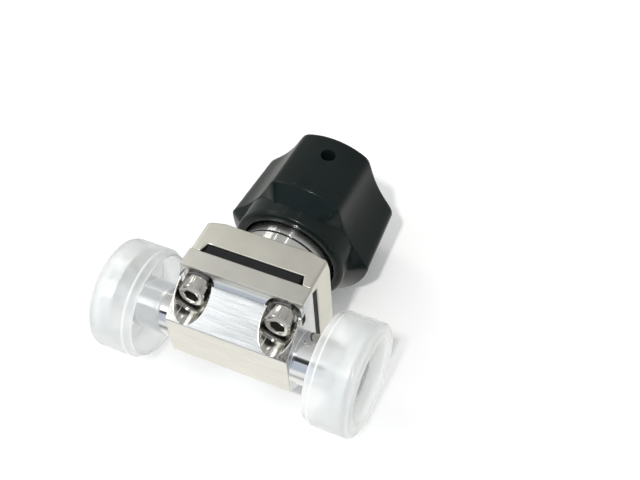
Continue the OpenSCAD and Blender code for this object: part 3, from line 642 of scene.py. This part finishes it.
def lobe_tree():
    """Geometry nodes: draws the handle's turned blank in to a lobed outline with a sloping underside."""
    tree = bpy.data.node_groups.new("lobed_handle", "GeometryNodeTree")
    face = tree.interface
    face.new_socket("Blank", in_out="INPUT", socket_type="NodeSocketGeometry")
    for name in HANDLE:
        face.new_socket(name, in_out="INPUT", socket_type="NodeSocketFloat")
    face.new_socket("Finish", in_out="INPUT", socket_type="NodeSocketMaterial")
    face.new_socket("Handle", in_out="OUTPUT", socket_type="NodeSocketGeometry")
    start, end = tree.nodes.new("NodeGroupInput"), tree.nodes.new("NodeGroupOutput")

    def calc(operation, *values):
        return maths(tree, operation, *values)

    def carried(name):
        node = tree.nodes.new("GeometryNodeInputNamedAttribute")
        node.data_type = "FLOAT"
        node.inputs["Name"].default_value = name
        return node.outputs["Attribute"]

    def mixed(low, high, share):
        return calc("ADD", low, calc("MULTIPLY", calc("SUBTRACT", high, low), share))

    size = start.outputs
    place = tree.nodes.new("GeometryNodeInputPosition")
    split = tree.nodes.new("ShaderNodeSeparateXYZ")
    tree.links.new(place.outputs["Position"], split.inputs["Vector"])
    x, y, z = (split.outputs[axis] for axis in "XYZ")
    around = calc("ARCTAN2", x, calc("MULTIPLY", y, -1.0))
    turned = calc("SUBTRACT", around, HANDLE_TURN)
    pitch = math.tau / LOBES
    nearest = calc("MULTIPLY", calc("ROUND", calc("DIVIDE", turned, pitch)), pitch)
    off = calc("SUBTRACT", calc("ABSOLUTE", calc("SUBTRACT", turned, nearest)), pitch / 2)
    skirt, edge = size["Skirt radius"], size["Edge height"]
    climb = calc("MAXIMUM", calc("SUBTRACT", z, edge), 0.0)
    foot = calc("ADD", skirt, size["Hollow step"])
    floor = calc("SUBTRACT", foot, calc("MULTIPLY", climb, math.tan(HOLLOW_DRAFT)))
    arc = size["Hollow radius"]
    reach = calc("ADD", arc, floor)
    side = calc("MULTIPLY", reach, calc("SINE", off))
    square = calc("SUBTRACT", calc("MULTIPLY", arc, arc), calc("MULTIPLY", side, side))
    depth = calc("SQRT", calc("MAXIMUM", square, 0.0))
    hollow = calc("SUBTRACT", calc("MULTIPLY", reach, calc("COSINE", off)), depth)
    tip = calc("SUBTRACT", size["Lobe radius"], calc("MULTIPLY", climb, math.tan(HANDLE_DRAFT)))
    outline = calc("SMOOTH_MIN", tip, hollow, size["Edge blend"])
    stand = calc("SUBTRACT", outline, skirt)
    soft = calc("MINIMUM", calc("DIVIDE", stand, SOFT_STAND * MM), 1.0)
    low_edge = calc("LESS_THAN", z, calc("ADD", edge, NEAR * MM))
    softness = mixed(1.0, soft, low_edge)
    radius = calc("SQRT", calc("ADD", calc("MULTIPLY", x, x), calc("MULTIPLY", y, y)))
    outer = calc("SUBTRACT", outline, calc("MULTIPLY", carried("inset"), softness))
    new_radius = mixed(radius, outer, carried("share"))
    drop = calc("MULTIPLY", calc("SUBTRACT", outline, new_radius), UNDER_SLOPE)
    under_height = calc("SUBTRACT", edge, drop)
    lifted = calc("ADD", z, calc("MULTIPLY", carried("lift"), softness))
    new_height = mixed(lifted, under_height, carried("under"))
    joined = tree.nodes.new("ShaderNodeCombineXYZ")
    forward = calc("MULTIPLY", calc("COSINE", around), -1.0)
    tree.links.new(calc("MULTIPLY", new_radius, calc("SINE", around)), joined.inputs["X"])
    tree.links.new(calc("MULTIPLY", new_radius, forward), joined.inputs["Y"])
    tree.links.new(new_height, joined.inputs["Z"])
    moved = tree.nodes.new("GeometryNodeSetPosition")
    whole = tree.nodes.new("GeometryNodeRealizeInstances")
    coat = tree.nodes.new("GeometryNodeSetMaterial")
    tree.links.new(start.outputs["Blank"], moved.inputs["Geometry"])
    tree.links.new(joined.outputs["Vector"], moved.inputs["Position"])
    tree.links.new(moved.outputs["Geometry"], whole.inputs["Geometry"])
    tree.links.new(whole.outputs["Geometry"], coat.inputs["Geometry"])
    tree.links.new(start.outputs["Finish"], coat.inputs["Material"])
    tree.links.new(coat.outputs["Geometry"], end.inputs["Handle"])
    return tree


def black_plastic_finish():
    """Satin black moulded plastic: an even fine grain under a thin clear coat, with faint clouds of tone and
    shine.
    """
    finish, tree, shader = new_finish("black_plastic")
    clouds = grain(tree, (0.15, 0.15, 0.15), 3.0)
    tree.links.new(tints(tree, clouds, ((0.005, 0.01, 0.0095), (0.0078, 0.0138, 0.013)), (0.3, 0.7)),
                   shader.inputs["Base Color"])
    tree.links.new(spread(tree, clouds, 0.24, 0.32), shader.inputs["Roughness"])
    shader.inputs["Specular IOR Level"].default_value = 0.14
    shader.inputs["Coat Weight"].default_value = 0.14
    shader.inputs["Coat Roughness"].default_value = 0.1
    relief(tree, shader, grain(tree, (4.0, 4.0, 4.0), 2.0), 0.004, 0.6)
    return finish


black_plastic = black_plastic_finish()
rings = handle_rings()
blank = ring_mesh("lobed_handle", [ring[:2] for ring in rings], HANDLE_STEPS, closed=True)
for index, name in enumerate(OUTLINE_PARTS, 2):
    carried = blank.attributes.new(name, "FLOAT", "POINT")
    scale = MM if name in ("inset", "lift") else 1.0
    values = [ring[index] * scale for ring in rings for step in range(HANDLE_STEPS)]
    carried.data.foreach_set("value", values)
handle = smooth_piece("lobed_handle", blank, 180)
handle_sizes = {name: size * MM for name, size in HANDLE.items()}
by_nodes(handle, lobe_tree(), {**handle_sizes, "Finish": black_plastic})
for name in OUTLINE_PARTS:
    handle.data.attributes.remove(handle.data.attributes[name])
DRILL = [(HOLE_R, 7.0), (HOLE_R, HOLE_FACE - 0.3), (HOLE_R + 0.12, HOLE_FACE - 0.12),
         (HOLE_R + 0.4, HOLE_FACE + 0.1), (HOLE_R + 0.4, HOLE_FACE + 2)]
drill = smooth_piece("drill", ring_mesh("drill", DRILL, 48))
to_front = Matrix.Rotation(HANDLE_TURN, 4, "Z") @ Matrix.Rotation(math.pi / 2, 4, "X")
drill.data.transform(Matrix.Translation((0, 0, HOLE_Z * MM)) @ to_front)
cut_away(handle, drill)
dress(handle, (black_plastic,), "handle", "black_plastic", "handle_knob")


# Top cap: a round black moulding pressed into the handle over the top nut, with a rounded edge and a
# slight dish.
TOP_CAP = [(8.2, 51.9), (8.4, 52.1), (8.4, 52.85), (8.34, 53.05), (8.2, 53.16), (7.9, 53.2), (7.5, 53.17),
           (5.0, 53.06), (2.0, 53.0), (0.3, 53.0)]
top_cap = smooth_piece("top_cap", ring_mesh("top_cap", TOP_CAP, 96), 40)
dress(top_cap, (black_plastic,), "handle", "black_plastic", "handle_top_cap")


# End caps: push-on covers of natural polyethylene, moulded, milky and see-through where they are thin.
# A wall with a tapered lip, a disc and a rim around it; the clamp flange shows dimly through the wall.
CAP_IN, CAP_OUT, CAP_MOUTH, CAP_END, CAP_DISC_IN, CAP_DISC_OUT = 12.6, 14.05, 22.3, 34.2, 31.9, 33.1
CAP_RECESS, CAP_ROUND, CAP_LIP, CAP_STEPS = 10.4, 1.5, 2.0, 128
CLEAR, WHITE = -0.5, 1.0
ROUND_WHITE = (0.0, 0.1, 0.5, 0.9, 0.6, 0.3, 0.3)
COVER_BY_RAY = {"Is Glossy Ray": 0.85, "Is Shadow Ray": 0.15, "Is Diffuse Ray": 0.02}


def natural_plastic_finish():
    """Natural polyethylene: a milky, see-through wall, white along its rims, with faint flow marks."""
    finish, tree, shader = new_finish("natural_polyethylene")
    flow = grain(tree, (0.25, 0.12, 0.12), 3.0)
    tree.links.new(tints(tree, flow, ((0.955, 0.99, 0.99), (0.985, 1.0, 1.0)), (0.3, 0.7)),
                   shader.inputs["Base Color"])
    tree.links.new(spread(tree, flow, 0.34, 0.42), shader.inputs["Roughness"])
    rim = tree.nodes.new("ShaderNodeAttribute")
    rim.attribute_name = "rim"
    tree.links.new(spread(tree, rim.outputs["Fac"], 0.82, 0.2, CLEAR, WHITE),
                   shader.inputs["Transmission Weight"])
    shader.inputs["IOR"].default_value = 1.15
    ray = tree.nodes.new("ShaderNodeLightPath")
    cover = spread(tree, rim.outputs["Fac"], 0.46, 1.0, CLEAR, WHITE)
    for kind, share in COVER_BY_RAY.items():
        step = tree.nodes.new("ShaderNodeMix")
        tree.links.new(ray.outputs[kind], step.inputs["Factor"])
        tree.links.new(cover, step.inputs["A"])
        step.inputs["B"].default_value = share
        cover = step.outputs["Result"]
    tree.links.new(cover, shader.inputs["Alpha"])
    shader.inputs["Coat Weight"].default_value = 0.8
    shader.inputs["Coat Roughness"].default_value = 0.1
    relief(tree, shader, flow, 0.02, 0.4)
    return finish


def cap_profile():
    """Half section of a cap from its inner face to its outer face: radius, place along the pipe, and how
    white it is, from clear discs over the wall to white rims."""
    ridge = CAP_MOUTH + CAP_LIP
    inside = [(0.2, CAP_DISC_IN, CLEAR), (CAP_IN - 2.4, CAP_DISC_IN, CLEAR),
              (CAP_IN - 0.4, CAP_DISC_IN, 0.0), (CAP_IN, CAP_DISC_IN - 0.4, 0.3),
              (CAP_IN, CAP_DISC_IN - 0.8, 0.0), (CAP_IN, CAP_MOUTH + 0.55, 0.0)]
    mouth = [(CAP_IN, CAP_MOUTH + 0.3, 0.8), (CAP_IN + 0.12, CAP_MOUTH + 0.06, WHITE),
             (CAP_IN + 0.3, CAP_MOUTH, WHITE), (CAP_IN + 0.48, CAP_MOUTH + 0.1, WHITE),
             (CAP_IN + 0.62, CAP_MOUTH + 0.4, 0.2)]
    lip = [(CAP_OUT - 0.36, ridge - 0.7, 0.0), (CAP_OUT - 0.18, ridge - 0.3, 0.2),
           (CAP_OUT - 0.08, ridge - 0.12, WHITE), (CAP_OUT, ridge + 0.12, WHITE),
           (CAP_OUT, ridge + 0.4, 0.0)]
    corner = [(CAP_OUT - CAP_ROUND + CAP_ROUND * math.cos(math.radians(15 * i)),
               CAP_END - CAP_ROUND + CAP_ROUND * math.sin(math.radians(15 * i)), white)
              for i, white in enumerate(ROUND_WHITE)]
    recess = [(CAP_RECESS + 0.5, CAP_END, 0.5), (CAP_RECESS + 0.2, CAP_END - 0.12, 0.8),
              (CAP_RECESS, CAP_END - 0.4, 0.4), (CAP_RECESS - 0.2, CAP_DISC_OUT + 0.3, 0.0),
              (CAP_RECESS - 0.6, CAP_DISC_OUT, CLEAR), (0.2, CAP_DISC_OUT, CLEAR)]
    return inside + mouth + lip + corner + recess


natural_plastic = natural_plastic_finish()
profile = cap_profile()
for side, name in ((-1, "left"), (1, "right")):
    cap_mesh = ring_mesh(f"push_on_cap_{name}", [ring[:2] for ring in profile], CAP_STEPS)
    cap = smooth_piece(f"push_on_cap_{name}", cap_mesh, 40)
    rim = cap.data.attributes.new("rim", "FLOAT", "POINT")
    rim.data.foreach_set("value", [ring[2] for ring in profile for step in range(CAP_STEPS)])
    cap.data.transform(Matrix.Rotation(side * math.pi / 2, 4, "Y"))
    dress(cap, (natural_plastic,), f"{name}_cap", "natural_plastic", f"{name}_end_cap")


# Table, camera and light: the valve lies on its back on a white table, seen from above its foot. The
# table is one sided and only the camera sees it; soft light comes from above the table.
TABLE_TILT, TABLE_Y, TABLE_Z, TABLE_HALF = 0.0365, 16.05, 3.4, 1.2
CAMERA_PLACE = (85.06, -200.18, -114.51)
CAMERA_AXES = ((0.9061, 0.0491, 0.4202), (-0.2934, -0.6427, 0.7077), (0.3048, -0.7645, -0.5679))
FOCAL_PIXELS, IMAGE_WIDTH, SENSOR = 1016.7, 640, 36.0
LAMPS = (("key_lamp", (0.043, -0.857, -0.514), (0.06, 0.06), 4.3, (1.0, 0.98, 0.95)),
         ("window", (-0.6, -0.62, -0.5), (0.5, 0.5), 1.1, (0.96, 0.98, 1.0)),
         ("left_box", (-0.66, -0.66, 0.36), (0.3, 0.3), 0.9, (1.0, 0.98, 0.94)),
         ("strip_left", (-0.39, -0.73, 0.55), (0.014, 0.25), 0.05, (1.0, 1.0, 1.0)),
         ("strip_right", (0.01, -0.83, 0.55), (0.014, 0.25), 0.05, (1.0, 1.0, 1.0)))
ROOM = ((0.0, (0.5, 0.56, 0.66)), (0.095, (0.6, 0.64, 0.7)), (0.11, (0.05, 0.05, 0.06)),
        (0.16, (0.04, 0.04, 0.04)), (0.2, (0.12, 0.12, 0.12)), (0.235, (0.85, 0.86, 0.87)),
        (0.35, (0.75, 0.75, 0.75)), (0.55, (0.55, 0.55, 0.54)), (0.72, (0.5, 0.5, 0.48)),
        (0.8, (0.53, 0.53, 0.51)), (0.86, (0.45, 0.45, 0.45)), (1.0, (0.35, 0.35, 0.35)))

table_mesh = bpy.data.meshes.new("white_table")
table_corners = [(x * TABLE_HALF, z * TABLE_HALF) for x, z in ((-1, -1), (1, -1), (1, 1), (-1, 1))]
table_mesh.from_pydata([(x, TABLE_Y * MM + TABLE_TILT * (z - TABLE_Z * MM), z) for x, z in table_corners],
                       [], [(0, 1, 2, 3)])
table = bpy.data.objects.new("white_table", table_mesh)
bpy.context.scene.collection.objects.link(table)
paper, tree, shader = new_finish("white_paper")
shader.inputs["Base Color"].default_value = (0.97, 0.98, 0.985, 1)
shader.inputs["Roughness"].default_value = 0.9
shader.inputs["Specular IOR Level"].default_value = 0.0
shader.inputs["Emission Color"].default_value = (0.97, 0.99, 1.0, 1)
shader.inputs["Emission Strength"].default_value = 0.15
ray, where = tree.nodes.new("ShaderNodeLightPath"), tree.nodes.new("ShaderNodeNewGeometry")
clear, choice = tree.nodes.new("ShaderNodeBsdfTransparent"), tree.nodes.new("ShaderNodeMixShader")
front = maths(tree, "GREATER_THAN", ray.outputs["Is Camera Ray"], where.outputs["Backfacing"])
tree.links.new(front, choice.inputs["Fac"])
tree.links.new(clear.outputs["BSDF"], choice.inputs[1])
tree.links.new(shader.outputs["BSDF"], choice.inputs[2])
tree.links.new(choice.outputs["Shader"], tree.nodes["Material Output"].inputs["Surface"])
table_mesh.materials.append(paper)

lens = bpy.data.cameras.new("camera")
lens.sensor_fit = "HORIZONTAL"
lens.sensor_width = SENSOR
lens.lens = FOCAL_PIXELS * SENSOR / IMAGE_WIDTH
lens.clip_start, lens.clip_end = 0.01, 10
camera = bpy.data.objects.new("camera", lens)
right, up, back = (Vector(axis) for axis in CAMERA_AXES)
aim = Matrix((right, up, back)).transposed().to_4x4()
camera.matrix_world = Matrix.Translation([c * MM for c in CAMERA_PLACE]) @ aim
bpy.context.scene.collection.objects.link(camera)
bpy.context.scene.camera = camera


def soft_box(name, direction, size, power, colour):
    """An area lamp a metre from the valve that looks at it."""
    lamp = bpy.data.lights.new(name, "AREA")
    lamp.shape = "RECTANGLE"
    lamp.size, lamp.size_y = size
    lamp.energy = power
    lamp.color = colour
    stand = bpy.data.objects.new(name, lamp)
    aim = Vector(direction).normalized()
    stand.location = aim + Vector((0, 0, 0.02))
    stand.rotation_mode = "QUATERNION"
    stand.rotation_quaternion = aim.to_track_quat("Z", "Y")
    bpy.context.scene.collection.objects.link(stand)


for lamp in LAMPS:
    soft_box(*lamp)

world = bpy.data.worlds.new("studio")
bpy.context.scene.world = world
world.use_nodes = True
tree = world.node_tree
sky = tree.nodes["Background"]
white = tree.nodes.new("ShaderNodeBackground")
white.inputs["Color"].default_value = (1, 1, 1, 1)
white.inputs["Strength"].default_value = 1.0
place, split = tree.nodes.new("ShaderNodeTexCoord"), tree.nodes.new("ShaderNodeSeparateXYZ")
tree.links.new(place.outputs["Generated"], split.inputs["Vector"])
height = spread(tree, split.outputs["Z"], 0.0, 1.0, -1.0, 1.0)
room = tints(tree, height, [colour for stop, colour in ROOM], [stop for stop, colour in ROOM])
ray = tree.nodes.new("ShaderNodeLightPath")
far_ground = spread(tree, split.outputs["Y"], 0.0, 1.0, 0.4, 0.8)
near_ground = spread(tree, split.outputs["Y"], 0.0, 1.0, 0.0, 0.2)
under_foot = spread(tree, split.outputs["Z"], 1.0, 0.0, -0.9, -0.75)
near_seen = maths(tree, "MAXIMUM", ray.outputs["Is Diffuse Ray"], under_foot)
ground = maths(tree, "MAXIMUM", far_ground, maths(tree, "MULTIPLY", near_ground, near_seen))
both = tree.nodes.new("ShaderNodeMix")
both.data_type = "RGBA"
tree.links.new(ground, both.inputs["Factor"])
tree.links.new(room, both.inputs["A"])
both.inputs["B"].default_value = (1.0, 0.99, 0.95, 1)
tree.links.new(both.outputs["Result"], sky.inputs["Color"])
sky.inputs["Strength"].default_value = 1.0
choice = tree.nodes.new("ShaderNodeMixShader")
seen_white = maths(tree, "MAXIMUM", ray.outputs["Is Camera Ray"], ray.outputs["Is Transmission Ray"])
tree.links.new(seen_white, choice.inputs["Fac"])
tree.links.new(sky.outputs["Background"], choice.inputs[1])
tree.links.new(white.outputs["Background"], choice.inputs[2])
tree.links.new(choice.outputs["Shader"], tree.nodes["World Output"].inputs["Surface"])
bpy.context.scene.view_settings.view_transform = "Standard"
